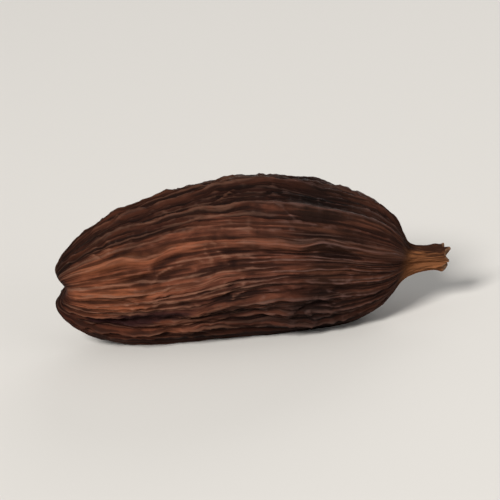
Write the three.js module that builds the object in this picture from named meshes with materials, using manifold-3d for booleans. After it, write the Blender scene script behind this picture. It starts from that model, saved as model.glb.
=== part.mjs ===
// Black cardamom pod: the dried seed capsule of a large cardamom plant, lying on its side.
// It grew as one piece, so it is one solid: a ribbed husk that narrows into the stub of its stalk.
// Millimetres, +Z up. +X runs from the flower end to the stalk, and the photographed side faces -Y.
// The origin is on the surface that the pod lies on, under the middle of its bounding box.
import * as THREE from "three";
import { mergeVertices } from "three/addons/utils/BufferGeometryUtils.js";
import Module from "manifold-3d";

const { degToRad, lerp, smoothstep, euclideanModulo } = THREE.MathUtils;

// Husk: a blunt-ended oval, arched so that its belly is flat and its back is high
const HUSK_LENGTH = 21.7;
const HUSK_HEIGHT = 9.3;
const HUSK_DEPTH = 10.4;
const FLOWER_END_BLUNTNESS = 2.05; // power of the superellipse: 2 is an ellipse, and more is blunter
const STALK_END_BLUNTNESS = 2.5;
const FLOWER_END_LEAN = 0.09; // how far this end leans towards the stalk, as a share of the height
const STALK_END_LEAN = 0.22; // the same at the other end, so that the back overhangs the stalk
const LEAN_CHANGE = 0.5; // share of the length from which the one lean turns into the other
const ARCH_RISE = 1.15; // rise of the mid line over a straight line between the two ends
const ARCH_POWER = 1.4; // how much the rise keeps to the middle
const ARCH_SKEW = 1.3; // 1 puts the top of the rise halfway, and more puts it nearer the stalk
const SWAY = 0.3; // sideways drift of the mid line, one way at the flower end and back at the stalk
const VALVE_COUNT = 3; // the capsule has three valves, so its section is a soft triangle
const VALVE_BULGE = 0.03; // share of the radius
const VALVE_TURN = degToRad(35);

// Ribs: sharp ridges from end to end, low or broken in places, with a finer rib between each two
const RIB_COUNT = 14;
const RIB_TURN = degToRad(-9.6); // turns all the ribs, so that one runs high along the side facing -Y
const RIB_HEIGHT = 0.6;
const FINE_RIB_HEIGHT = 0.3;
const RIB_SHARPNESS = 1.4; // power of the crest: more is a thinner rib in a broader hollow
const RIB_EVEN_SHARE = 0.72; // mean strength of a rib
const RIB_BROKEN_SHARE = 0.6; // how far its strength comes and goes along the pod
const RIB_BREAK_LENGTH = 4.2;
const RIB_WANDER = 0.32; // in rib spacings
const RIB_WANDER_LENGTH = 8.0;
const RIB_WANDER_ROUND = 1.6; // noise cells across the pod
const RIB_BEND = 0.11; // short bends of a crest from side to side, in rib spacings
const RIB_BEND_LENGTH = 1.5;
const RIB_TOOTH = 0.34; // low and high places along a crest, as a share of its height
const RIB_TOOTH_LENGTH = 1.0;
const RIB_FULL_RADIUS = 3.2; // ribs have their full height where the pod is this thick

// Swellings where the seeds fill the husk
const LUMP_HEIGHT = 0.3;
const LUMP_LENGTH = 4.4;
const LUMPS_ROUND = 1.9; // noise cells across the pod
const LUMP_START = 9.3; // in lump lengths, which moves the swellings along the pod

// Flower end: the scar that the flower left, and a crease across it
const SCAR_DEPTH = 0.35;
const SCAR_RADIUS = 0.95;
const CLEFT_DEPTH = 0.7;
const CLEFT_WIDTH = 0.65;
const CLEFT_REACH = 2.6;

// Stalk: the stub left where the pod was picked, with a flared and hollow broken end
const NECK_RADIUS = 1.6; // the husk's outline gives way to the neck's here
const STALK_LENGTH = 2.8;
const STALK_RADIUS = 0.62;
const STALK_BASE_RADIUS = 0.93;
const STALK_END_RADIUS = 0.74;
const STALK_END_HOLLOW = 0.3;

// Flat spot that the pod lies on
const LIE_PITCH = degToRad(1.8); // turns the stalk end down until the belly is level
const SPOT_DEPTH = 0.2;
const SPOT_PRESSING = 0.8; // share of the relief that is pressed away at the spot
const SPOT_ARC = 0.72; // sine of the angle below the horizontal where the pressing starts

// Where in the noise each kind of chance starts, so that no two are alike
const RIB_SEED = 0.5;
const FINE_RIB_SEED = 4.5;
const BEND_SEED = 2.5;
const TOOTH_SEED = 6.5;
const LUMP_SEED = 5.5;
const SEED_STEP = 3.7; // from one rib to the next

// Fineness of the surface
const COLUMNS_PER_RIB = 6;
const HUSK_STATIONS = 60;
const NECK_STATIONS = 8;

// A repeatable number from -1 to 1 for a corner of the noise lattice.
function cornerValue(i, j, k) {
  const wave = Math.sin(i * 127.1 + j * 311.7 + k * 74.7) * 43758.5453;
  return 2 * (wave - Math.floor(wave)) - 1;
}

// Smooth noise from -1 to 1: the values at the eight corners round a place, blended.
function noise(x, y, z) {
  const [i, j, k] = [x, y, z].map(Math.floor);
  const [u, v, w] = [x - i, y - j, z - k].map((share) => share * share * (3 - 2 * share));
  const edge = (dj, dk) => lerp(cornerValue(i, j + dj, k + dk), cornerValue(i + 1, j + dj, k + dk), u);
  return lerp(lerp(edge(0, 0), edge(1, 0), v), lerp(edge(0, 1), edge(1, 1), v), w);
}

// Half outline of the husk, from the pole of the flower end to the neck.
function huskOutline() {
  const points = [new THREE.Vector2(0, 0)];
  for (let i = 1; i < HUSK_STATIONS; i++) {
    const turn = (Math.PI * i) / HUSK_STATIONS;
    const power = 2 / (turn < Math.PI / 2 ? FLOWER_END_BLUNTNESS : STALK_END_BLUNTNESS);
    const along = Math.sign(Math.cos(turn)) * Math.abs(Math.cos(turn)) ** power;
    const radius = (HUSK_HEIGHT / 2) * Math.sin(turn) ** power;
    if (turn > Math.PI / 2 && radius < NECK_RADIUS) break;
    points.push(new THREE.Vector2(radius, (HUSK_LENGTH / 2) * (1 - along)));
  }
  return points;
}

// Half outline of the neck, the stalk and its broken end, going on from the husk's last point.
function stalkOutline(start) {
  const end = HUSK_LENGTH + STALK_LENGTH;
  const side = new THREE.SplineCurve([
    start,
    new THREE.Vector2(STALK_BASE_RADIUS, HUSK_LENGTH + STALK_LENGTH * 0.04),
    new THREE.Vector2(STALK_RADIUS, HUSK_LENGTH + STALK_LENGTH * 0.4),
    new THREE.Vector2(STALK_RADIUS, HUSK_LENGTH + STALK_LENGTH * 0.7),
    new THREE.Vector2(STALK_END_RADIUS, end),
  ]);
  return [
    ...side.getSpacedPoints(NECK_STATIONS).slice(1),
    new THREE.Vector2(STALK_END_RADIUS * 0.65, end - STALK_END_HOLLOW * 0.3),
    new THREE.Vector2(0, end - STALK_END_HOLLOW),
  ];
}

// Where the pod's mid line runs, sideways and up, at a distance along it.
function midLine(along) {
  const share = Math.min(1, along / HUSK_LENGTH);
  return {
    side: SWAY * Math.sin(2 * Math.PI * share),
    rise: ARCH_RISE * Math.sin(Math.PI * share ** ARCH_SKEW) ** ARCH_POWER,
  };
}

// Height of one set of ribs, from 0 to about 1. Place counts the set's ribs round the pod.
function ribSet(along, place, seed) {
  const rib = euclideanModulo(Math.round(place), RIB_COUNT);
  const broken = noise(rib * SEED_STEP + seed, along / RIB_BREAK_LENGTH, seed);
  const crest = (1 - Math.abs(Math.sin(Math.PI * place))) ** RIB_SHARPNESS;
  return crest * (RIB_EVEN_SHARE + RIB_BROKEN_SHARE * broken);
}

// Chance from -1 to 1 along the nearest crest. It fades to nothing halfway to the next one.
function crestChance(along, place, length, seed) {
  const rib = euclideanModulo(Math.round(place), RIB_COUNT);
  const nearCrest = Math.cos(Math.PI * (place - Math.round(place))) ** 2;
  return nearCrest * noise(rib * SEED_STEP + seed, along / length, seed);
}

function ribRelief(along, place) {
  const teeth = 1 + RIB_TOOTH * crestChance(along, place, RIB_TOOTH_LENGTH, TOOTH_SEED);
  const ribs = teeth * RIB_HEIGHT * ribSet(along, place, RIB_SEED);
  return ribs + FINE_RIB_HEIGHT * ribSet(along, place + 0.5, FINE_RIB_SEED);
}

// How far, in radians, the ribs have wandered and bent round the pod from their even places.
function ribWander(along, column, place) {
  const [across, up] = [Math.cos(column), Math.sin(column)].map((share) => RIB_WANDER_ROUND * share);
  const drift = noise(along / RIB_WANDER_LENGTH, across, up);
  const bend = crestChance(along, place, RIB_BEND_LENGTH, BEND_SEED);
  return ((2 * Math.PI) / RIB_COUNT) * (RIB_WANDER * drift + RIB_BEND * bend);
}

function lumpRelief(along, angle) {
  const [across, up] = [Math.cos(angle), Math.sin(angle)].map((share) => LUMPS_ROUND * share);
  return LUMP_HEIGHT * noise(along / LUMP_LENGTH + LUMP_START, across + LUMP_SEED, up + LUMP_SEED);
}

// Moves a point of the plain turned shape to its place on the pod. Its column follows a rib.
function shapePoint(point) {
  const along = point.x;
  const radius = Math.hypot(point.y, point.z);
  const column = Math.atan2(point.z, -point.y); // 0 faces -Y, and a quarter turn is up
  const place = (RIB_COUNT * (column - Math.PI / 2)) / (2 * Math.PI); // counts ribs round the pod
  const fade = Math.min(1, radius / RIB_FULL_RADIUS);
  const angle = column + RIB_TURN + ribWander(along, column, place);
  const pressed = SPOT_PRESSING * smoothstep(-Math.sin(angle), SPOT_ARC, 1);
  const ribs = ribRelief(along, place);
  const valves = 1 + VALVE_BULGE * Math.cos(VALVE_COUNT * (angle - VALVE_TURN));
  const reach = radius * valves + fade * (1 - pressed) * (ribs + lumpRelief(along, angle));
  const across = radius > 0 ? reach * Math.cos(angle) * (HUSK_DEPTH / HUSK_HEIGHT) : 0;
  const up = radius > 0 ? reach * Math.sin(angle) : 0;
  const nearTip = Math.max(0, 1 - along / CLEFT_REACH) ** 2;
  const scar = SCAR_DEPTH * Math.exp(-((radius / SCAR_RADIUS) ** 2));
  const cleft = CLEFT_DEPTH * Math.exp(-((up / CLEFT_WIDTH) ** 2));
  const leanShare = smoothstep(along / HUSK_LENGTH, LEAN_CHANGE, 1);
  const lean = up * lerp(FLOWER_END_LEAN, STALK_END_LEAN, leanShare);
  const mid = midLine(along);
  point.set(along + nearTip * (scar + cleft) + lean, mid.side - across, mid.rise + up);
}

// The whole skin: the outline turned about the pod's axis, then every point moved to its place.
function podSkin() {
  const husk = huskOutline();
  const outline = [...husk, ...stalkOutline(husk[husk.length - 1])];
  const turned = new THREE.LatheGeometry(outline, RIB_COUNT * COLUMNS_PER_RIB).rotateZ(-Math.PI / 2);
  turned.deleteAttribute("normal");
  turned.deleteAttribute("uv");
  const skin = mergeVertices(turned);
  const places = skin.getAttribute("position");
  const point = new THREE.Vector3();
  for (let i = 0; i < places.count; i++) {
    point.fromBufferAttribute(places, i);
    shapePoint(point);
    places.setXYZ(i, point.x, point.y, point.z);
  }
  return skin.rotateY(LIE_PITCH);
}

const wasm = await Module();
wasm.setup();

// A closed geometry as a solid that can be cut.
function solidOf(geometry) {
  return new wasm.Manifold(
    new wasm.Mesh({
      numProp: 3,
      vertProperties: new Float32Array(geometry.getAttribute("position").array),
      triVerts: new Uint32Array(geometry.index.array),
    }),
  );
}

// A cut solid as a geometry again.
function geometryOf(solid) {
  const mesh = solid.getMesh();
  const geometry = new THREE.BufferGeometry();
  geometry.setAttribute("position", new THREE.BufferAttribute(mesh.vertProperties, 3));
  geometry.setIndex(new THREE.BufferAttribute(mesh.triVerts, 1));
  return geometry;
}

// The block under the pod whose top face cuts the flat spot.
function blockUnder(box) {
  const size = box.getSize(new THREE.Vector3());
  const centre = box.getCenter(new THREE.Vector3());
  const block = new THREE.BoxGeometry(2 * size.x, 2 * size.y, size.z);
  block.translate(centre.x, centre.y, box.min.z + SPOT_DEPTH - size.z / 2);
  block.deleteAttribute("normal");
  block.deleteAttribute("uv");
  return mergeVertices(block);
}

const skin = podSkin();
skin.computeBoundingBox();
const pod = geometryOf(solidOf(skin).subtract(solidOf(blockUnder(skin.boundingBox))));
pod.computeBoundingBox();
const middle = pod.boundingBox.getCenter(new THREE.Vector3());
pod.translate(-middle.x, -middle.y, -pod.boundingBox.min.z);
pod.computeVertexNormals();

const huskBrown = new THREE.MeshStandardMaterial({ color: 0x4b2d21, roughness: 0.6, metalness: 0 });
const mesh = new THREE.Mesh(pod, huskBrown);
mesh.name = "pod";

const part = new THREE.Group();
part.add(mesh);

export default part;
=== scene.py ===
# %% [markdown]
# # A black cardamom pod
# A black cardamom pod is a seed capsule that was dried over a fire. Its husk shrank onto the seeds and
# set into rough ribs from the flower end to the stalk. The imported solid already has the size, the arched
# back, the ribs and the stalk. This lesson makes the surface that the eye knows a husk by: ragged crests,
# crinkled hollows, fibres, and browns that run from near black to rubbed tan. All of it is in metres and
# in the solid's own frame, so nothing is fitted afterwards.

import math
from types import SimpleNamespace

import bpy
import numpy as np
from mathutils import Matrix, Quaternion, Vector, noise


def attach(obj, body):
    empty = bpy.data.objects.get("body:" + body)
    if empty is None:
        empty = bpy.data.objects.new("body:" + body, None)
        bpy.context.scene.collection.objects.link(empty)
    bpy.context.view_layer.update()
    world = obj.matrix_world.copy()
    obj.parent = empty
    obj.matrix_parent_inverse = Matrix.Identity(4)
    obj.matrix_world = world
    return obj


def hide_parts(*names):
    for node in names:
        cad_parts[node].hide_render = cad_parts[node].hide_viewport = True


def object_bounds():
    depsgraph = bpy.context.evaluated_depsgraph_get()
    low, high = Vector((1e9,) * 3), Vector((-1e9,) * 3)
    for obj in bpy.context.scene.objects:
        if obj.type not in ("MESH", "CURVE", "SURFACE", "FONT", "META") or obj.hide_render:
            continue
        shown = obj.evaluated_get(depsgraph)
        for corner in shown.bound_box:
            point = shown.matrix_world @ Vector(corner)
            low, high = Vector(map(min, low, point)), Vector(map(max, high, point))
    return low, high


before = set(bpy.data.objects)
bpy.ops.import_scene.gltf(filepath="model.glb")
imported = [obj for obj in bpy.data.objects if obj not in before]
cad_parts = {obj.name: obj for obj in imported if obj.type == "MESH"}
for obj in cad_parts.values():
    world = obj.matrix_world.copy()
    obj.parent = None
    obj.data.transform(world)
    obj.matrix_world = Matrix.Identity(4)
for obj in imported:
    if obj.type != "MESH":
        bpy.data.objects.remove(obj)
cad_low, cad_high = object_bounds()
MM = 0.001
print("nodes to dress:", list(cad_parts))
print("solid, in mm:", [round(side / MM, 2) for side in cad_high - cad_low])

# %% [markdown]
# ## The husk's outline
# The fine husk has to keep the solid's form, so it starts from the same few measures: half an outline,
# which is a blunt oval that gives way to a neck and a stub of stalk. Two curves describe it. The oval is
# a superellipse, rounder at the flower end than at the stalk end, and the neck is a smooth fall from the
# oval's last ring to the stalk. The stub ends in a shallow hollow, as a torn stalk does.

# %% Outline
HUSK_LENGTH = 21.7 * MM
HUSK_HEIGHT = 9.3 * MM
HUSK_DEPTH = 10.4 * MM
FLOWER_END_BLUNTNESS = 2.05
STALK_END_BLUNTNESS = 2.5
HUSK_STATIONS = 46
NECK_RADIUS = 1.6 * MM
NECK_FALL = 7.5  # how fast the neck narrows
STALK_LENGTH = 2.8 * MM
STALK_RADIUS = 0.62 * MM
STALK_END_RADIUS = 0.74 * MM
STALK_FLARE_POWER = 4
STALK_STATIONS = 8
STALK_HOLLOW = 0.3 * MM
HOLLOW_RINGS = ((0.3, 0.65), (1.0, 0.195))  # shares of the hollow's depth and of the stalk's radius


def husk_outline():
    """Places along the husk and the husk's radius there, from the flower end to the neck."""
    stations = []
    for turn in np.linspace(0, math.pi, HUSK_STATIONS + 1)[1:-1]:
        front = turn < math.pi / 2
        power = 2 / (FLOWER_END_BLUNTNESS if front else STALK_END_BLUNTNESS)
        along = 1 - math.copysign(abs(math.cos(turn)) ** power, math.cos(turn))
        radius = HUSK_HEIGHT / 2 * math.sin(turn) ** power
        if not front and radius < NECK_RADIUS:
            break
        stations.append((HUSK_LENGTH / 2 * along, radius))
    return stations


def stalk_outline(start_along, start_radius):
    """The same for the neck and the stalk, which narrows fast, then flares at its broken end."""
    stations = []
    end = HUSK_LENGTH + STALK_LENGTH
    for share in np.linspace(0, 1, STALK_STATIONS + 1)[1:]:
        narrow = STALK_RADIUS + (start_radius - STALK_RADIUS) * math.exp(-NECK_FALL * share)
        flare = (STALK_END_RADIUS - STALK_RADIUS) * share**STALK_FLARE_POWER
        stations.append((start_along + (end - start_along) * share, narrow + flare))
    return stations


def hollow_outline(end_along, end_radius):
    """The same for the hollow in the stalk's end."""
    return [(end_along - STALK_HOLLOW * depth, end_radius * share) for depth, share in HOLLOW_RINGS]


outline = husk_outline()
outline += stalk_outline(*outline[-1])
outline += hollow_outline(*outline[-1])
print("stations along the outline:", len(outline))

# %% [markdown]
# ## Turning the outline
# On a lathe the outline would be spun round its axis. By hand in Blender the same shape grows ring by ring.
# A cone is the first bit of the flower end, with its tip as the pole. Its open rim is extruded to the next
# station and resized, again and again, and the last rim is merged to close the stalk's hollow end. The
# number of columns is a multiple of the number of ribs, so that every crest will lie on a line of vertices.

# %% Turned husk
RIB_COUNT = 14
COLUMNS_TO_A_RIB = 8
COLUMNS = RIB_COUNT * COLUMNS_TO_A_RIB
SAME_PLACE = 1e-7


def select_rim(mesh, along):
    """Selects the ring of vertices at a place along the X axis, and nothing else."""
    bpy.ops.mesh.select_all(action="DESELECT")
    bpy.ops.object.mode_set(mode="OBJECT")
    for vertex in mesh.vertices:
        vertex.select = abs(vertex.co.x - along) < SAME_PLACE
    bpy.ops.object.mode_set(mode="EDIT")


def next_ring(along, last_along, scale):
    bpy.ops.mesh.extrude_region_move(TRANSFORM_OT_translate={"value": (along - last_along, 0, 0)})
    bpy.ops.transform.resize(value=(1, scale, scale), center_override=(along, 0, 0))


bpy.ops.object.select_all(action="DESELECT")
tip_along, tip_radius = outline[0]
bpy.ops.mesh.primitive_cone_add(
    vertices=COLUMNS,
    radius1=tip_radius,
    depth=tip_along,
    end_fill_type="NOTHING",
    location=(tip_along / 2, 0, 0),
    rotation=(0, -math.pi / 2, 0),
)
pod = bpy.context.active_object
pod.name = pod.data.name = "husk"
bpy.ops.object.transform_apply(location=True, rotation=True, scale=True)
bpy.ops.object.mode_set(mode="EDIT")
bpy.ops.mesh.select_mode(type="VERT")
select_rim(pod.data, tip_along)
for (last_along, last_radius), (along, radius) in zip(outline, outline[1:]):
    next_ring(along, last_along, radius / last_radius)
bpy.ops.mesh.merge(type="CENTER")
bpy.ops.mesh.select_all(action="SELECT")
bpy.ops.mesh.normals_make_consistent(inside=False)
bpy.ops.object.mode_set(mode="OBJECT")
print("turned husk:", len(pod.data.vertices), "vertices")

# %% [markdown]
# Extruding numbers the edges and faces in an order that changes from run to run. Sorting the faces once,
# each from its lowest corner on, makes every later step repeat exactly.

# %% Faces in a fixed order
def from_lowest(face):
    """The numbers of a face's corners in their order, from the lowest one on."""
    corners = list(face.vertices)
    first = corners.index(min(corners))
    return corners[first:] + corners[:first]


spots = [vertex.co.copy() for vertex in pod.data.vertices]
faces = sorted(from_lowest(face) for face in pod.data.polygons)
pod.data.clear_geometry()
pod.data.from_pydata(spots, [], faces)
print("faces in a fixed order:", len(pod.data.polygons))

# %% [markdown]
# ## The skin laid flat
# Painting a finish onto a picture needs the skin laid flat, as bark comes off a log: one way runs along
# the outline, from the tip to the middle of the stalk's end, and the other way runs round. Projecting from
# several sides would cut a wrinkled skin into hundreds of scraps, so each face is laid out by its ring and
# its column, while the shape is still a plain turned one. The cut is a column on the far side.

# %% Unrolled map
profile = np.array([(0, 0), *outline])
profile[-1, 1] = 0  # the last ring was merged
steps = np.hypot(*np.diff(profile, axis=0).T)
travel = np.concatenate(([0], np.cumsum(steps))) / steps.sum()


def spot_on_map(vertex):
    """How far along the outline a vertex lies, from 0 to 1, and its column, or None at a pole."""
    radius = math.hypot(vertex.y, vertex.z)
    ring = np.argmin(np.hypot(profile[:, 0] - vertex.x, profile[:, 1] - radius))
    turn = math.atan2(vertex.z, -vertex.y) / (2 * math.pi) + 0.5
    column = round(turn * COLUMNS) % COLUMNS if radius > SAME_PLACE else None
    return travel[ring], column


def columns_of(face, spots):
    """A face's columns, corner by corner. A pole takes the mean, and the cut's far side counts on."""
    columns = [spots[vertex][1] for vertex in face.vertices]
    known = [column for column in columns if column is not None]
    if max(known) - min(known) > COLUMNS / 2:
        columns = [COLUMNS if column == 0 else column for column in columns]
        known = [column for column in columns if column is not None]
    return [sum(known) / len(known) if column is None else column for column in columns]


def unroll(mesh):
    skin_map = mesh.uv_layers.new(name="OFBake")
    spots = [spot_on_map(vertex.co) for vertex in mesh.vertices]
    for face in mesh.polygons:
        for corner, vertex, column in zip(face.loop_indices, face.vertices, columns_of(face, spots)):
            skin_map.uv[corner].vector = (spots[vertex][0], column / COLUMNS)


unroll(pod.data)
print("unrolled map:", pod.data.uv_layers[0].name, "with", len(pod.data.polygons), "faces")

# %% [markdown]
# ## Enough vertices for the relief
# The crinkles on a husk are a few tenths of a millimetre wide. Two rounds of subdivision bring the vertices
# to about 0.1 mm apart, which is just fine enough to model them, and keeps the piece light enough to share.

# %% Subdivided husk
SUBDIVISIONS = 2

subdivision = pod.modifiers.new("fine enough for crinkles", "SUBSURF")
subdivision.levels = subdivision.render_levels = SUBDIVISIONS
bpy.ops.object.modifier_apply(modifier=subdivision.name)
print("subdivided husk:", len(pod.data.vertices), "vertices")

# %% [markdown]
# ## The pod's own form
# No operator makes ribs that wander, come and go, so the vertices are moved in code, by the solid's own
# formula. A repeatable noise gives the chance in it. Each column of vertices follows its rib, so a crest is
# always a clean line of vertices and never a saw edge.

# %% Noise
HASH_STEPS = (127.1, 311.7, 74.7)  # any numbers do that share no pattern
HASH_SCALE = 43758.5453


def corner_value(i, j, k):
    wave = np.sin(i * HASH_STEPS[0] + j * HASH_STEPS[1] + k * HASH_STEPS[2]) * HASH_SCALE
    return 2 * (wave - np.floor(wave)) - 1


def value_noise(x, y, z):
    """Smooth noise from -1 to 1: the values at the eight corners round a place, blended."""
    x, y, z = np.broadcast_arrays(x, y, z)
    i, j, k = np.floor(x), np.floor(y), np.floor(z)
    u, v, w = (share * share * (3 - 2 * share) for share in (x - i, y - j, z - k))

    def edge(dj, dk):
        low = corner_value(i, j + dj, k + dk)
        return low + u * (corner_value(i + 1, j + dj, k + dk) - low)

    near = edge(0, 0) + v * (edge(1, 0) - edge(0, 0))
    far = edge(0, 1) + v * (edge(1, 1) - edge(0, 1))
    return near + w * (far - near)


def smoothstep(value, low, high):
    share = np.clip((value - low) / (high - low), 0, 1)
    return share * share * (3 - 2 * share)


print("noise at four places in a row:", np.round(value_noise(np.arange(4) / 4, 0.5, 0.5), 2))

# %% Where each vertex lies on the turned shape
RIB_FULL_RADIUS = 3.2 * MM  # ribs are lower where the pod is thinner than this
TIP_FULL_RADIUS = 0.9 * MM  # and so is the fine relief at the flower end
NECK_FULL_RADIUS = 2.6 * MM  # and at the stalk end


def places(mesh):
    flat = np.empty(3 * len(mesh.vertices), np.float32)
    mesh.vertices.foreach_get("co", flat)
    return flat.reshape(-1, 3).astype(float)


turned = places(pod.data)
along = turned[:, 0]
radius = np.hypot(turned[:, 1], turned[:, 2])
column = np.arctan2(turned[:, 2], -turned[:, 1])  # 0 faces -Y, and a quarter turn is up
column[radius < SAME_PLACE] = 0  # a pole has no direction of its own
place = RIB_COUNT * (column - math.pi / 2) / (2 * math.pi)  # counts ribs round the pod
fade = np.minimum(1, radius / RIB_FULL_RADIUS)
fine_fade = np.minimum(1, radius / np.where(along < HUSK_LENGTH / 2, TIP_FULL_RADIUS, NECK_FULL_RADIUS))
print("turned husk, in mm:", round(np.ptp(along) / MM, 2), "by", round(2 * radius.max() / MM, 2))

# %% Ribs
RIB_TURN = math.radians(-9.6)
RIB_HEIGHT = 0.6 * MM
FINE_RIB_HEIGHT = 0.3 * MM
RIB_SHARPNESS = 1.4
RIB_EVEN_SHARE = 0.72
RIB_BROKEN_SHARE = 0.6
RIB_BREAK_LENGTH = 4.2 * MM
RIB_WANDER = 0.32
RIB_WANDER_LENGTH = 8.0 * MM
RIB_WANDERS_ROUND = 1.6
RIB_BEND = 0.11
RIB_BEND_LENGTH = 1.5 * MM
RIB_TOOTH = 0.34
RIB_TOOTH_LENGTH = 1.0 * MM
RIB_SEED, FINE_RIB_SEED, BEND_SEED, TOOTH_SEED = 0.5, 4.5, 2.5, 6.5
RIB_SEED_STEP = 3.7  # keeps the chance of one rib apart from its neighbour's


def rib_chance(place, length, seed):
    """Chance from -1 to 1 along the nearest rib."""
    rib = np.mod(np.floor(place + 0.5), RIB_COUNT)
    return value_noise(rib * RIB_SEED_STEP + seed, along / length, seed)


def rib_set(place, seed):
    """Height of one set of ribs, from 0 to about 1. Each comes and goes along the pod."""
    crest = (1 - np.abs(np.sin(math.pi * place))) ** RIB_SHARPNESS
    return crest * (RIB_EVEN_SHARE + RIB_BROKEN_SHARE * rib_chance(place, RIB_BREAK_LENGTH, seed))


def crest_chance(length, seed):
    """The same chance, which fades to nothing halfway to the next crest."""
    near_crest = np.cos(math.pi * (place - np.floor(place + 0.5))) ** 2
    return near_crest * rib_chance(place, length, seed)


wander = value_noise(
    along / RIB_WANDER_LENGTH, RIB_WANDERS_ROUND * np.cos(column), RIB_WANDERS_ROUND * np.sin(column)
)
bend = crest_chance(RIB_BEND_LENGTH, BEND_SEED)
angle = column + RIB_TURN + 2 * math.pi / RIB_COUNT * (RIB_WANDER * wander + RIB_BEND * bend)
teeth = 1 + RIB_TOOTH * crest_chance(RIB_TOOTH_LENGTH, TOOTH_SEED)
ribs = teeth * RIB_HEIGHT * rib_set(place, RIB_SEED) + FINE_RIB_HEIGHT * rib_set(place + 0.5, FINE_RIB_SEED)
print("rib height, in mm:", round(ribs.max() / MM, 2))

# %% [markdown]
# ## Fibres, veins and crinkles
# The drying skin drew tight over the fibres that run through it, from the flower end to the stalk. They
# show as fine raised lines, a few of them as thin veins. Where the skin had too much length to lie flat it
# buckled into crinkles and short cross creases. A ridged noise has sharp branching crests, so it makes the
# fibres and crinkles when it is stretched along the pod, and each vein is a thin raised line of its own.
# Every layer but the veins is brought to a mean of 0, so that the form stays, and all of them are lower
# where the pod gets thin, so that the skin doesn't fold over itself there.

# %% Noise on the husk
RIDGE_SMOOTHNESS = 0.9
RIDGE_STEP = 2.1  # each octave is this much finer than the last
RIDGE_OFFSET = 1.0
RIDGE_GAIN = 2.0
FURTHEST = 2.5  # usual sizes from the mean, past which a value is an outlier
TIGHT_TO_LOOSE = (-1.2, 1.2)  # in usual sizes too


def around(cells_along, cells_round, shift, turn=column):
    """A place in noise space for each vertex, which closes round the pod without a seam."""
    spots = np.stack((along / MM * cells_along, cells_round * np.cos(turn), cells_round * np.sin(turn)))
    return [Vector(spot) for spot in (spots.T + shift)]


def even(values):
    """The same values with a mean of 0 and a usual size of 1, and no far outliers."""
    values = np.array(values)
    return np.clip((values - values.mean()) / values.std(), -FURTHEST, FURTHEST)


def ridged(octaves, **cells):
    settings = (RIDGE_SMOOTHNESS, RIDGE_STEP, octaves, RIDGE_OFFSET, RIDGE_GAIN)
    return even([noise.ridged_multi_fractal(spot, *settings) for spot in around(**cells)])


def plain(**cells):
    return even([noise.noise(spot) for spot in around(**cells)])


pull = plain(cells_along=0.4, cells_round=1.6, shift=51.2)
loose = smoothstep(plain(cells_along=0.3, cells_round=1.4, shift=8.9), *TIGHT_TO_LOOSE)
print("share of the husk with loose skin:", round(float((loose > 0.5).mean()), 2))

# %% Veins
VEIN_COUNT = 120
VEIN_SEED = 7
VEIN_MIDDLES = (0.1, 0.9)  # of the husk's length
VEIN_HALF_LENGTHS = (1.5, 6.0)  # in mm
VEIN_STRENGTHS = (0.5, 1.0)
VEIN_HALF_WIDTH = 0.080 * MM
VEIN_TAPER = 0.35  # of half a vein
VEIN_LEAST_RADIUS = 0.4 * MM
VEIN_DRIFT = 0.05  # in radians
VEIN_DRIFT_LENGTH = 2.6 * MM
VEIN_KINK = 0.012  # in radians
VEIN_KINK_LENGTH = 0.7 * MM
DRIFT_ROW, KINK_ROW = 0.5, 9.5  # rows of the noise
LARGEST_SHIFT = 100
VEIN_SAMPLES = 300
stretch = np.linspace(0, HUSK_LENGTH, VEIN_SAMPLES)


def vein(chance):
    """How much each vertex lies on a thin line that wanders along part of the pod, from 0 to 1."""
    middle = chance.uniform(*VEIN_MIDDLES) * HUSK_LENGTH
    half = chance.uniform(*VEIN_HALF_LENGTHS) * MM
    start, shift, strength = chance.uniform(
        (-math.pi, 0, VEIN_STRENGTHS[0]), (math.pi, LARGEST_SHIFT, VEIN_STRENGTHS[1])
    )
    drift = VEIN_DRIFT * value_noise(stretch / VEIN_DRIFT_LENGTH, shift, DRIFT_ROW)
    kink = VEIN_KINK * value_noise(stretch / VEIN_KINK_LENGTH, shift, KINK_ROW)
    line = start + np.interp(along, stretch, drift + kink)
    off = np.angle(np.exp(1j * (column - line))) * np.maximum(radius, VEIN_LEAST_RADIUS)
    ends = smoothstep(1 - np.abs(along - middle) / half, 0, VEIN_TAPER)
    return strength * ends * np.exp(-((off / VEIN_HALF_WIDTH) ** 2))


chance = np.random.default_rng(VEIN_SEED)
veins = np.max([vein(chance) for _ in range(VEIN_COUNT)], axis=0)
print("share of the husk under veins:", round(float((veins > 0.5).mean()), 3))

# %% Fine relief
FIBRE_HEIGHT = 0.028 * MM
WRINKLE_HEIGHT = 0.07 * MM
CREASE_HEIGHT = 0.028 * MM
GRIT_HEIGHT = 0.012 * MM
STRIA_HEIGHT = 0.020 * MM
CRINKLE_HEIGHT = 0.018 * MM
VEIN_HEIGHT = 0.06 * MM
WRINKLE_SLANT = 0.10  # in radians, how far the loose skin is pulled aside
CRINKLE_SLANT = 0.06
TIGHT_WRINKLES = 0.4  # height on tight skin, as a share of that on loose skin
LOOSE_CRINKLES = 0.35  # and the other way round

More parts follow.
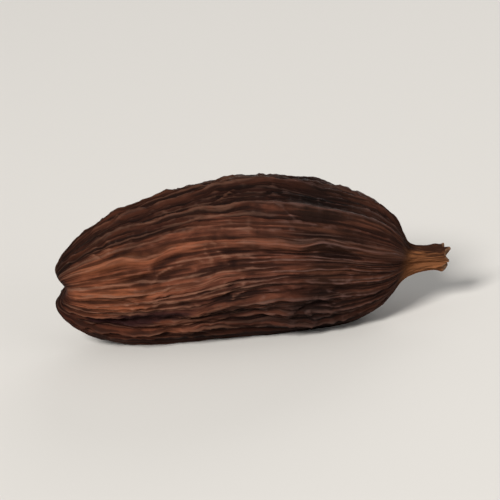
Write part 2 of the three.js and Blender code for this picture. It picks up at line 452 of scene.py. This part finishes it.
slanted = column + WRINKLE_SLANT * pull
less_slanted = column + CRINKLE_SLANT * pull
fibres = ridged(2, cells_along=0.10, cells_round=11.0, shift=17.7)
wrinkles = ridged(3, cells_along=0.34, cells_round=5.6, shift=3.1, turn=slanted)
wrinkles *= TIGHT_WRINKLES + (1 - TIGHT_WRINKLES) * loose
creases = ridged(2, cells_along=1.3, cells_round=3.4, shift=41.3) * loose
grit = plain(cells_along=2.8, cells_round=15.0, shift=27.5)
striae = ridged(2, cells_along=0.22, cells_round=21.0, shift=33.9)
crinkles = ridged(2, cells_along=1.9, cells_round=9.0, shift=14.6, turn=less_slanted)
crinkles *= 1 - (1 - LOOSE_CRINKLES) * loose
fine = (
    FIBRE_HEIGHT * fibres
    + WRINKLE_HEIGHT * wrinkles
    + CREASE_HEIGHT * creases
    + GRIT_HEIGHT * grit
    + STRIA_HEIGHT * striae
    + CRINKLE_HEIGHT * crinkles
    + VEIN_HEIGHT * veins
)
print("fine relief, in mm:", round(fine.min() / MM, 2), "to", round(fine.max() / MM, 2))

# %% [markdown]
# ## A groove, pleats, and a torn stalk
# Three places need forms of their own. A fold of the skin sank into a narrow groove low on the left, which
# climbs a little towards the stalk. The skin at the flower end was gathered into pleats when the flower
# dried away. The stalk is wood: it has coarser fibres, and a few of them stand out where it was torn.

# %% Groove
GROOVE_DEPTH = 0.26 * MM
GROOVE_ANGLE = math.radians(-33.5)
GROOVE_CLIMB = math.radians(28)  # over the husk's length
GROOVE_HALF_WIDTH = math.radians(6.5)
GROOVE_STARTS = (1.5 * MM, 3.5 * MM)
GROOVE_ENDS = (10.5 * MM, 5.5 * MM)

run = smoothstep(along, *GROOVE_STARTS) * smoothstep(along, *GROOVE_ENDS)
groove_line = GROOVE_ANGLE + GROOVE_CLIMB * along / HUSK_LENGTH
in_groove = run * np.exp(-(((angle - groove_line) / GROOVE_HALF_WIDTH) ** 2))
groove = GROOVE_DEPTH * in_groove
print("deepest groove, in mm:", round(groove.max() / MM, 2))

# %% Pleats, and the stalk's fibres
PLEAT_HEIGHT = 0.075 * MM
PLEATS = (2.6 * MM, 0.4 * MM)  # from where they begin to where they are whole
STALK_FIBRE_HEIGHT = 0.075 * MM
STALK_BEGINS = (HUSK_LENGTH - 0.8 * MM, HUSK_LENGTH + 0.5 * MM)
STALK_TEAR = 0.3 * MM
STALK_TORN = (HUSK_LENGTH + STALK_LENGTH - 0.7 * MM, HUSK_LENGTH + STALK_LENGTH)

gathered = ridged(2, cells_along=0.35, cells_round=4.4, shift=95.3)
pleats = PLEAT_HEIGHT * smoothstep(along, *PLEATS) * gathered
on_stalk = smoothstep(along, *STALK_BEGINS)
woody = ridged(3, cells_along=0.25, cells_round=1.7, shift=60.4)
stalk_fibres = STALK_FIBRE_HEIGHT * on_stalk * woody * np.minimum(1, radius / STALK_RADIUS)
ragged = np.clip(0.5 + 0.5 * plain(cells_along=0.1, cells_round=1.9, shift=77.7), 0, 1.5)
torn = STALK_TEAR * smoothstep(along, *STALK_TORN) * ragged
print("vertices on the stalk:", int((on_stalk > 0.5).sum()))

# %% [markdown]
# ## Shaping
# Now every vertex goes to its place. Three soft valves make the section a rounded triangle, low swellings
# show where the seeds lie, the mid line arches up and sways a little, and the flower end gets its scar and
# cleft. The belly is pressed flat where the pod lies.

# %% The section
VALVE_COUNT = 3
VALVE_BULGE = 0.03
VALVE_TURN = math.radians(35)
LUMP_HEIGHT = 0.3 * MM
LUMP_LENGTH = 4.4 * MM
LUMPS_ROUND = 1.9
LUMP_SHIFT, LUMP_ROUND_SHIFT = 9.3, 5.5
SPOT_PRESSING = 0.8
SPOT_ARC = 0.72

lumps = LUMP_HEIGHT * value_noise(
    along / LUMP_LENGTH + LUMP_SHIFT,
    LUMPS_ROUND * np.cos(angle) + LUMP_ROUND_SHIFT,
    LUMPS_ROUND * np.sin(angle) + LUMP_ROUND_SHIFT,
)
pressed = SPOT_PRESSING * smoothstep(-np.sin(angle), SPOT_ARC, 1)
valves = 1 + VALVE_BULGE * np.cos(VALVE_COUNT * (angle - VALVE_TURN))
relief = (1 - pressed) * (fade * (ribs + lumps - groove) + fine_fade * (fine + pleats))
reach = radius * valves + relief + stalk_fibres
across = reach * np.cos(angle) * HUSK_DEPTH / HUSK_HEIGHT
up = reach * np.sin(angle)
print("section, in mm:", round(np.ptp(across) / MM, 2), "deep and", round(np.ptp(up) / MM, 2), "high")

# %% The pinched flower end
SCAR_DEPTH = 0.35 * MM
SCAR_RADIUS = 0.95 * MM
SCAR_ROUGHNESS = 0.5
CLEFT_DEPTH = 0.7 * MM
CLEFT_WIDTH = 0.65 * MM
CLEFT_REACH = 2.6 * MM
CLEFT_WAVE = 0.25 * MM
CLEFT_WAVE_LENGTH = 0.9 * MM
CLEFT_UNEVENNESS = 0.35
CLEFT_ROW, CLEFT_PLACE = 3.5, 7.5  # in the noise

rough = plain(cells_along=0.8, cells_round=1.3, shift=88.1)
scar = SCAR_DEPTH * np.exp(-((radius / SCAR_RADIUS) ** 2)) * (1 + SCAR_ROUGHNESS * rough)
wave = value_noise(across / CLEFT_WAVE_LENGTH, CLEFT_ROW, CLEFT_PLACE)
in_cleft = np.exp(-(((up - CLEFT_WAVE * wave) / CLEFT_WIDTH) ** 2))
cleft = CLEFT_DEPTH * (1 + CLEFT_UNEVENNESS * wave) * in_cleft
near_tip = np.maximum(0, 1 - along / CLEFT_REACH) ** 2
pinch = near_tip * (scar + cleft)
print("deepest pinch, in mm:", round(pinch.max() / MM, 2))

# %% The arched mid line
ARCH_RISE = 1.15 * MM
ARCH_POWER = 1.4
ARCH_SKEW = 1.3
SWAY = 0.3 * MM
FLOWER_END_LEAN = 0.09
STALK_END_LEAN = 0.22
STALK_HALF = (0.5, 1)

share = np.clip(along / HUSK_LENGTH, 0, 1)
side = SWAY * np.sin(2 * math.pi * share)
rise = ARCH_RISE * np.sin(math.pi * share**ARCH_SKEW) ** ARCH_POWER
lean = FLOWER_END_LEAN + (STALK_END_LEAN - FLOWER_END_LEAN) * smoothstep(share, *STALK_HALF)
x = along + pinch + lean * up - torn
y = side - across
z = rise + up
print("arched husk, in mm:", [round(np.ptp(axis) / MM, 2) for axis in (x, y, z)])

# %% Laid on its belly, where the solid lies
LIE_PITCH = math.radians(1.8)

level, tip = math.cos(LIE_PITCH), math.sin(LIE_PITCH)
x, z = x * level + z * tip, z * level - x * tip
x += (cad_low.x + cad_high.x - x.min() - x.max()) / 2
y += (cad_low.y + cad_high.y - y.min() - y.max()) / 2
z = np.maximum(0, z + cad_high.z - z.max())
shaped = np.stack((x, y, z), axis=1)
pod.data.vertices.foreach_set("co", shaped.astype(np.float32).ravel())
pod.data.update()
bpy.ops.object.shade_smooth()
print("shaped husk, in mm:", np.round(np.ptp(shaped, axis=0) / MM, 2))

# %% [markdown]
# ## What the finish needs to know
# The finish paints shade into the husk's hollows, and paints what stands out pale, partly as rubbed wear
# and partly as painted highlight. Both places can be read from the mesh: a vertex that lies above the mean
# of its neighbours stands out. Averaging over a few neighbours finds thin crests, and over many finds whole
# hollows. These go into attributes, with the ribs, veins and groove, and with a place along the grain, so
# that the finish follows the ribs.

# %% Crests and hollows
THIN_ROUNDS = 6
BROAD_ROUNDS = 80

edges = np.empty(2 * len(pod.data.edges), np.int32)
pod.data.edges.foreach_get("vertices", edges)
starts, ends = edges.reshape(-1, 2).T
neighbours = np.bincount(starts, minlength=len(shaped)) + np.bincount(ends, minlength=len(shaped))
normals = np.array([vertex.normal for vertex in pod.data.vertices])


def averaged(points, rounds):
    """Each point's place after it has moved to the mean of its neighbours that many times."""
    for _ in range(rounds):
        sums = [
            np.bincount(starts, points[ends, axis], len(points))
            + np.bincount(ends, points[starts, axis], len(points))
            for axis in range(3)
        ]
        points = np.stack(sums, axis=1) / neighbours[:, None]
    return points


def standing_out(rounds):
    return np.einsum("ij,ij->i", shaped - averaged(shaped, rounds), normals)


thin_crests = standing_out(THIN_ROUNDS)
broad_crests = standing_out(BROAD_ROUNDS)
print("thin crests, in mm:", np.round(np.percentile(thin_crests, (5, 50, 95)) / MM, 3))
print("broad crests, in mm:", np.round(np.percentile(broad_crests, (5, 50, 95)) / MM, 3))

# %% Attributes
CREST_UNIT = 0.03 * MM
HEIGHT_UNIT = 0.2 * MM
GRAIN_RADIUS = 5.0  # in mm, about the husk's own

figures = {
    "crest": thin_crests / CREST_UNIT,
    "height": broad_crests / HEIGHT_UNIT,
    "along": along / HUSK_LENGTH,
    "upward": np.sin(angle),
    "vein": veins,
    "stria": striae,
    "rib": ribs / RIB_HEIGHT,
    "groove": in_groove,
}
grain = np.stack((along / MM, GRAIN_RADIUS * np.cos(column), GRAIN_RADIUS * np.sin(column)), axis=1)


def keep(name, kind, key, values):
    attribute = pod.data.attributes.new(name, kind, "POINT")
    attribute.data.foreach_set(key, np.asarray(values, np.float32).ravel())


for name, values in figures.items():
    keep(name, "FLOAT", "value", values)
keep("grain", "FLOAT_VECTOR", "vector", grain)
print("attributes for the finish:", ", ".join(figures), "and grain")

# %% [markdown]
# ## A short way to write a finish
# Finishes are node trees. Two small classes let them be written as formulas: a value wraps a node's output,
# so that sums of masks read as sums, and a finish adds any other node from its type, settings and sockets.

# %% Values
class Value:
    """A node's output. Sums and products of values add Math nodes."""

    def __init__(self, finish, socket):
        self.finish = finish
        self.socket = socket

    def math(self, operation, first, second):
        return self.finish.node("Math", {"operation": operation}, {0: first, 1: second})

    def __add__(self, other):
        return self.math("ADD", self, other)

    def __sub__(self, other):
        return self.math("SUBTRACT", self, other)

    def __rsub__(self, other):
        return self.math("SUBTRACT", other, self)

    def __mul__(self, other):
        return self.math("MULTIPLY", self, other)

    __radd__ = __add__
    __rmul__ = __mul__


print("operators that add a node: +, - and *")

# %% Finishes
class Finish:
    """A material whose nodes are added one by one."""

    def __init__(self, name):
        self.material = bpy.data.materials.new(name)
        self.material.use_nodes = True
        self.tree = self.material.node_tree
        self.tree.nodes.clear()

    def node(self, kind, settings, sockets, output=0):
        """Adds a node, sets it up, and gives each of its sockets a value or a link."""
        made = self.tree.nodes.new("ShaderNode" + kind)
        for name, setting in settings.items():
            setattr(made, name, setting)
        for name, value in sockets.items():
            if isinstance(value, Value):
                self.tree.links.new(made.inputs[name], value.socket)
            else:
                made.inputs[name].default_value = value
        return Value(self, made.outputs[output]) if made.outputs else None

    def attribute(self, name, output="Fac"):
        return self.node("Attribute", {"attribute_name": name}, {}, output)

    def noise(self, vector, stretch, detail=2.0, roughness=0.5):
        """Noise from 0 to 1, with this many cells to a unit of the vector each way."""
        spot = self.node("Mapping", {}, {"Vector": vector, "Scale": stretch})
        sockets = {"Vector": spot, "Scale": 1.0, "Detail": detail, "Roughness": roughness}
        return self.node("TexNoise", {}, sockets, "Fac")

    def mask(self, value, low, high):
        """0 at low, 1 at high, and a soft step between them. Low may be the larger one."""
        sockets = {"Value": value, "From Min": low, "From Max": high}
        return self.node("MapRange", {"interpolation_type": "SMOOTHSTEP"}, sockets)

    def mix(self, factor, first, second, blend="MIX"):
        """Two colours mixed. The node has sockets of other kinds too, so these go by number."""
        settings = {"data_type": "RGBA", "blend_type": blend}
        return self.node("Mix", settings, {0: factor, 6: first, 7: second}, 2)

    def surface(self, sockets):
        shader = self.node("BsdfPrincipled", {}, sockets)
        self.node("OutputMaterial", {}, {"Surface": shader})


husk = Finish("dry_husk")
print("finish begun:", husk.material.name)

# %% [markdown]
# ## The husk's finish
# The real husk isn't one brown. Its sides are red-brown near the flower end and smoked darker towards the
# stalk, and its crests are rubbed to a pale tan. Painted shade makes its hollows near black, and a painted
# highlight turns the rubbed crests grey towards the stalk. All of it is streaked along the grain, so most
# noises are stretched that way: few cells to a millimetre along it, and more across.
# Each mask below begins and ends at a named pair of values. Places along the husk run from 0 at the flower
# end to 1 at the stalk, and heights round it from -1 underneath to 1 on top. A little noise, by a weight,
# frays every edge.

# %% What the finish reads
skin = SimpleNamespace(**{name: husk.attribute(name) for name in figures})
grain_spot = husk.attribute("grain", "Vector")
spot = husk.node("TexCoord", {}, {}, "Object")


def grain_noise(cells_along, cells_across, detail=2.0, roughness=0.5):
    return husk.noise(grain_spot, (cells_along, cells_across, cells_across), detail, roughness)


patches = grain_noise(0.20, 0.28) - 0.5
handled = grain_noise(0.30, 0.45)
streaks = grain_noise(0.20, 2.2, detail=3.0)
strands = grain_noise(0.22, 4.8, detail=3.0, roughness=0.55)
threads = grain_noise(0.10, 5.5, detail=1.0)
hairs = grain_noise(0.9, 11.0, detail=3.0, roughness=0.6)
breaks = grain_noise(0.9, 1.8, detail=3.0, roughness=0.6)
uneven = breaks - 0.5
print("nodes for attributes and noises:", len(husk.tree.nodes))

# %% Ground browns
RED_BROWN = (0.084, 0.0270, 0.0138, 1)
DARK_BROWN = (0.058, 0.0195, 0.0108, 1)
SMOKED_BLACK = (0.0260, 0.0100, 0.0056, 1)
WORN_ORANGE = (0.118, 0.0375, 0.0165, 1)
WORN_FACE = ((-8.6 * MM, -3.6 * MM, 4.2 * MM), 4.2)  # a place, and a radius in mm
RED_TO_DARK = (0.26, 0.54)
DARK_TO_SMOKED = (0.56, 0.80)
SMOKED_TO_CLEAR = (0.74, 0.90)


def close_to(place, radius):
    """1 in the middle of a spot on the husk, and 0 past its ragged edge."""
    apart = husk.node("VectorMath", {"operation": "DISTANCE"}, {0: spot, 1: place}, "Value")
    return husk.mask(apart * (1 / MM) + 4.0 * uneven, radius, radius / 3)


colour = husk.mix(husk.mask(skin.along + 0.9 * patches, *RED_TO_DARK), RED_BROWN, DARK_BROWN)
clear = husk.mask(skin.along, *SMOKED_TO_CLEAR)
smoke = husk.mask(skin.along + 0.7 * patches, *DARK_TO_SMOKED) * (1 - 0.45 * clear)
colour = husk.mix(smoke * 0.9, colour, SMOKED_BLACK)
worn = close_to(*WORN_FACE)
colour = husk.mix(worn * 0.7, colour, WORN_ORANGE)
print("nodes with the ground browns:", len(husk.tree.nodes))

# %% [markdown]
# ### Ribs, streaks and strands
# Three layers multiply the ground: painted shade darkens the ribs' slopes and painted light brightens
# their crests, broad streaks run along the grain, and dry strands break them up. A factor above 1
# lightens, so the mean brown stays as it was.

# %% Ribs, streaks and strands
# The first two factors paint shade on the ribs' slopes and light on their crests.
SHADED_SLOPE, LIT_CREST = (0.68, 0.64, 0.66, 1), (1.26, 1.25, 1.24, 1)
DARK_STREAK, PALE_STREAK = (0.35, 0.35, 0.38, 1), (1.65, 1.65, 1.62, 1)
SLOPE_TO_CREST = (0.08, 0.62)
DARK_TO_DRY = (0.34, 0.66)


def grey(value):
    return (value, value, value, 1)


# Painted light and shade on the ribs, by their height.
painted_rib_light_and_shade = husk.mix(husk.mask(skin.rib + 0.5 * uneven, *SLOPE_TO_CREST), SHADED_SLOPE, LIT_CREST)
colour = husk.mix(1.0, colour, painted_rib_light_and_shade, "MULTIPLY")
streaked = husk.mix(streaks, DARK_STREAK, PALE_STREAK)
colour = husk.mix(0.75, colour, streaked, "MULTIPLY")
dry = husk.mix(husk.mask(0.12 * skin.stria + strands, *DARK_TO_DRY), grey(0.50), grey(1.50))
colour = husk.mix(1.0, colour, dry, "MULTIPLY")
print("nodes with ribs, streaks and strands:", len(husk.tree.nodes))

# %% [markdown]
# ### Painted shade
# Painted shade darkens the back and the belly more than the sides, least of all near the stalk, and two
# spots on the lower flank get less of it. Painted shade also makes the rim of the flower end, the hollows
# and the groove the darkest, with a hint of plum in the groove.

# %% Painted shade on the back, belly and rim
# Colours of painted shade for the back, and for the belly and the flower end's rim.
TOP_SHADE = (0.15, 0.135, 0.135, 1)
BELLY_SHADE = (0.34, 0.30, 0.30, 1)
# Two spots where the painted belly shade is weaker.
LEFT_LESS_SHADED_SPOT = ((-4.7 * MM, -4.5 * MM, 2.2 * MM), 2.6)
RIGHT_LESS_SHADED_SPOT = ((0.8 * MM, -4.8 * MM, 2.6 * MM), 1.8)
SIDE_TO_TOP = (0.66, 0.84)
SIDE_TO_BELLY = (-0.10, -0.50)
TOP_TO_FLOWER_END = (0.50, 0.30)
TOP_TO_STALK = (0.70, 0.85)
BELLY_TO_STALK = (0.75, 0.88)
FLANK_STARTS, FLANK_ENDS = (0.45, 0.65), (0.85, 0.75)
HUSK_TO_RIM = (0.085, 0.02)

# Painted shade on the back, weaker near the stalk.
flower_end = husk.mask(skin.along, *TOP_TO_FLOWER_END)
top_painted_shade = husk.mask(skin.upward + 0.35 * uneven + 0.12 * flower_end, *SIDE_TO_TOP)
top_painted_shade = top_painted_shade * (0.92 - 0.40 * husk.mask(skin.along, *TOP_TO_STALK))
colour = husk.mix(top_painted_shade, colour, TOP_SHADE, "MULTIPLY")
# Painted shade on the belly, higher on the flank past the middle, weaker at two spots and near the stalk.
flank_shaded_higher = husk.mask(skin.along, *FLANK_STARTS) * husk.mask(skin.along, *FLANK_ENDS)
under = husk.mask(skin.upward + 0.6 * uneven - 0.20 * flank_shaded_higher, *SIDE_TO_BELLY)
under = under * (1 - 0.75 * close_to(*LEFT_LESS_SHADED_SPOT) - 0.6 * close_to(*RIGHT_LESS_SHADED_SPOT))
under = under * (1 - 0.4 * husk.mask(skin.along, *BELLY_TO_STALK))
colour = husk.mix(under, colour, BELLY_SHADE, "MULTIPLY")
# Painted shade on the rim of the flower end.
rim = husk.mask(skin.along + 0.04 * uneven, *HUSK_TO_RIM)
colour = husk.mix(rim, colour, BELLY_SHADE, "MULTIPLY")
print("nodes with back, belly and rim:", len(husk.tree.nodes))

# %% Painted shade in the groove and hollows
# Colours of painted shade for the hollows and, tinted plum, for the groove.
HOLLOW_SHADE = (0.0065, 0.0020, 0.0014, 1)
PLUM_GROOVE_SHADE = (0.0105, 0.0024, 0.0031, 1)
SIDE_TO_GROOVE = (0.05, 0.55)
SIDE_TO_HOLLOW = (0.30, -0.90)

# Painted shade in the groove.
groove_shade = husk.mask(skin.groove + 0.5 * uneven + 0.9 * (strands - 0.5), *SIDE_TO_GROOVE)
colour = husk.mix(groove_shade * 0.90, colour, PLUM_GROOVE_SHADE)
# Painted shade in the hollows, weaker on the worn face.
hollow = husk.mask(skin.height, *SIDE_TO_HOLLOW) * (0.85 - 0.4 * worn)
colour = husk.mix(hollow, colour, HOLLOW_SHADE)
print("nodes with groove and hollows:", len(husk.tree.nodes))

# %% [markdown]
# ### Rubbed crests with a painted highlight, and pale threads
# What stands out was rubbed by handling and shows the pale fibre under the smoke, in some places more than
# in others, and towards the stalk a painted highlight turns it grey. The veins do too, and so do loose
# threads. All of it is weaker under the painted shade on the back, on the belly and in the groove.

# %% Rubbed crests with a painted highlight, and pale threads
# The grey for the rubbed crests is a painted highlight, and the other colours are wear and fibre.
RUBBED_TAN = (0.140, 0.060, 0.035, 1)
RUBBED_HIGHLIGHT_GREY = (0.105, 0.056, 0.048, 1)
THREAD_TAN = (0.150, 0.072, 0.046, 1)
THREAD_GREY = (0.078, 0.040, 0.030, 1)
WHOLE_TO_RUBBED = (0.6, 3.8)
LESS_TO_MORE_HANDLED = (0.38, 0.62)
RUBBED_TAN_TO_HIGHLIGHT_GREY = (0.45, 0.75)
SKIN_TO_VEIN = (0.30, 0.85)
SKIN_TO_THREAD = (0.64, 0.72)
THREAD_TAN_TO_GREY = (0.45, 0.65)

# The share of the surface outside the painted shade.
outside_painted_shade = (1 - 0.6 * top_painted_shade) * (1 - 0.6 * under) * (1 - 0.85 * groove_shade)
standing = skin.crest + 0.5 * skin.height + 1.2 * skin.vein
# Rubbed wear on what stands out, with a painted highlight on top of it.
rubbed_and_highlight = husk.mask(standing + 4.0 * uneven, *WHOLE_TO_RUBBED)
rubbed_and_highlight = rubbed_and_highlight * (0.26 + 0.46 * husk.mask(handled, *LESS_TO_MORE_HANDLED)) * outside_painted_shade
rubbed_and_highlight_colour = husk.mix(husk.mask(skin.along, *RUBBED_TAN_TO_HIGHLIGHT_GREY), RUBBED_TAN, RUBBED_HIGHLIGHT_GREY)
colour = husk.mix(rubbed_and_highlight, colour, rubbed_and_highlight_colour)
thread = husk.mask(skin.vein + 1.2 * uneven, *SKIN_TO_VEIN) + husk.mask(threads, *SKIN_TO_THREAD)
thread_colour = husk.mix(husk.mask(skin.along, *THREAD_TAN_TO_GREY), THREAD_TAN, THREAD_GREY)
colour = husk.mix(thread * 0.45 * outside_painted_shade, colour, thread_colour)
print("nodes with crests and threads:", len(husk.tree.nodes))

# %% [markdown]
# ### The stalk, and the dry surface
# The stub of stalk is bare wood, with painted shade on its top, and palest where it was torn. Over
# everything lies a grain of fine hairs, in the colour, the roughness and the bump alike. A dry husk has
# hardly any gloss, so the specular level is low, and only the rubbed crests are a little smoother.

# %% Stalk
# The stalk's dark brown is painted shade for its top.
STALK_BROWN = (0.155, 0.060, 0.0240, 1)
STALK_TOP_SHADE = (0.026, 0.0095, 0.0048, 1)
TORN_PALE = (0.150, 0.078, 0.042, 1)
STALK_MIDDLE = 1.06
BROWN_TO_SHADED = (0.1, 0.9)
HUSK_TO_STALK = (0.975, 1.02)
STALK_TO_TORN = (1.130, 1.138)

# Painted shade on the stalk's top.
shaded_stalk_top = husk.mask(skin.upward + 2.0 * uneven + 4 * (skin.along - STALK_MIDDLE), *BROWN_TO_SHADED)
stalk_colour = husk.mix(shaded_stalk_top, STALK_BROWN, STALK_TOP_SHADE)
colour = husk.mix(husk.mask(skin.along, *HUSK_TO_STALK), colour, stalk_colour)
colour = husk.mix(husk.mask(skin.along + 0.03 * breaks, *STALK_TO_TORN), colour, TORN_PALE)
print("nodes with the stalk:", len(husk.tree.nodes))

# %% Dry surface
GRAIN_DEPTH = 0.07 * MM
GRAIN_STRENGTH = 0.8
DRY_GLOSS = 0.08
DRY_ROUGHNESS = 0.84
DRY_TO_SMOOTHED = (0.0, 2.0)

colour = husk.mix(0.9, colour, husk.mix(hairs, grey(0.4), grey(1.6)), "MULTIPLY")
roughness = DRY_ROUGHNESS - 0.22 * husk.mask(skin.crest, *DRY_TO_SMOOTHED) + 0.3 * (hairs - 0.5)
height = 0.6 * hairs + 1.2 * strands + 0.4 * breaks
grainy = husk.node("Bump", {}, {"Strength": GRAIN_STRENGTH, "Distance": GRAIN_DEPTH, "Height": height})
husk.surface(
    {"Base Color": colour, "Roughness": roughness, "Normal": grainy, "Specular IOR Level": DRY_GLOSS}
)
print("husk finish:", len(husk.tree.nodes), "nodes")

# %% The piece, in place of the solid
pod.data.materials.clear()
pod.data.materials.append(husk.material)
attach(pod, "root")
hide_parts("pod")
print("piece:", pod.name, "with", len(pod.data.polygons), "faces")

# %% [markdown]
# ## Floor, light and camera
# The floor is a plain pale sheet. Most of the light comes from the camera's side, from the left and above,
# through a soft box that is small enough to let each rib cast a little shade. A weak fill from the right
# and a weak back light keep the other sides from going black. A long lens looks from the side and slightly
# from above, and is turned a little, so that the stalk end is the higher one.

# %% Floor
FLOOR_SIZE = 3.0
FLOOR_PALE = (0.64, 0.63, 0.615, 1)
FLOOR_ROUGHNESS = 0.85

bpy.ops.object.select_all(action="DESELECT")
bpy.ops.mesh.primitive_plane_add(size=FLOOR_SIZE)
floor = bpy.context.active_object
floor.name = "floor"
pale = Finish("pale_floor")
pale.surface({"Base Color": FLOOR_PALE, "Roughness": FLOOR_ROUGHNESS})
floor.data.materials.append(pale.material)
print("floor, in m:", FLOOR_SIZE, "each way")

# %% Light
WARM_WHITE = (1.0, 0.965, 0.91)
SOFT_WHITE = (1.0, 0.98, 0.95)
ROOM_WHITE = (1.0, 0.99, 0.97, 1)
ROOM_STRENGTH = 0.30

scene = bpy.context.scene
scene.world = bpy.data.worlds.new("soft_room")
scene.world.use_nodes = True
room = scene.world.node_tree.nodes["Background"].inputs
room["Color"].default_value = ROOM_WHITE
room["Strength"].default_value = ROOM_STRENGTH
centre = (cad_low + cad_high) / 2


def facing(place, target):
    return (target - place).to_track_quat("-Z", "Y")


def soft_box(name, place, size, power, colour):
    bpy.ops.object.light_add(type="AREA", location=place)
    light = bpy.context.active_object
    light.name = name
    light.rotation_euler = facing(Vector(place), centre).to_euler()
    light.data.shape = "DISK"
    light.data.size = size
    light.data.energy = power
    light.data.color = colour
    print(name, "light, in W:", power)


soft_box("key", place=(-0.50, -1.02, 0.70), size=0.42, power=26.0, colour=WARM_WHITE)
soft_box("fill", place=(0.90, -0.95, 0.30), size=0.90, power=4.0, colour=SOFT_WHITE)
soft_box("back", place=(0.35, 1.20, 0.30), size=0.80, power=6.0, colour=SOFT_WHITE)

# %% Camera
CAMERA_ELEVATION = math.radians(15)
CAMERA_ROLL = math.radians(-6.2)
LENS = 200.0
FRAME_SHARE = 0.80  # of the frame's width is the pod's length
CLIP_SHARE = 0.01  # of the camera's distance, and nothing nearer is drawn

bpy.ops.object.camera_add()
camera = bpy.context.active_object
camera.data.lens = LENS
frame_width = (cad_high.x - cad_low.x) / FRAME_SHARE
distance = frame_width * LENS / camera.data.sensor_width
back = Vector((0, -math.cos(CAMERA_ELEVATION), math.sin(CAMERA_ELEVATION)))
camera.location = centre + back * distance
camera.rotation_mode = "QUATERNION"
camera.rotation_quaternion = facing(camera.location, centre) @ Quaternion((0, 0, 1), CAMERA_ROLL)
camera.data.clip_start = distance * CLIP_SHARE
scene.camera = camera
scene.view_settings.view_transform = "Standard"
print("camera distance, in mm:", round(distance / MM))
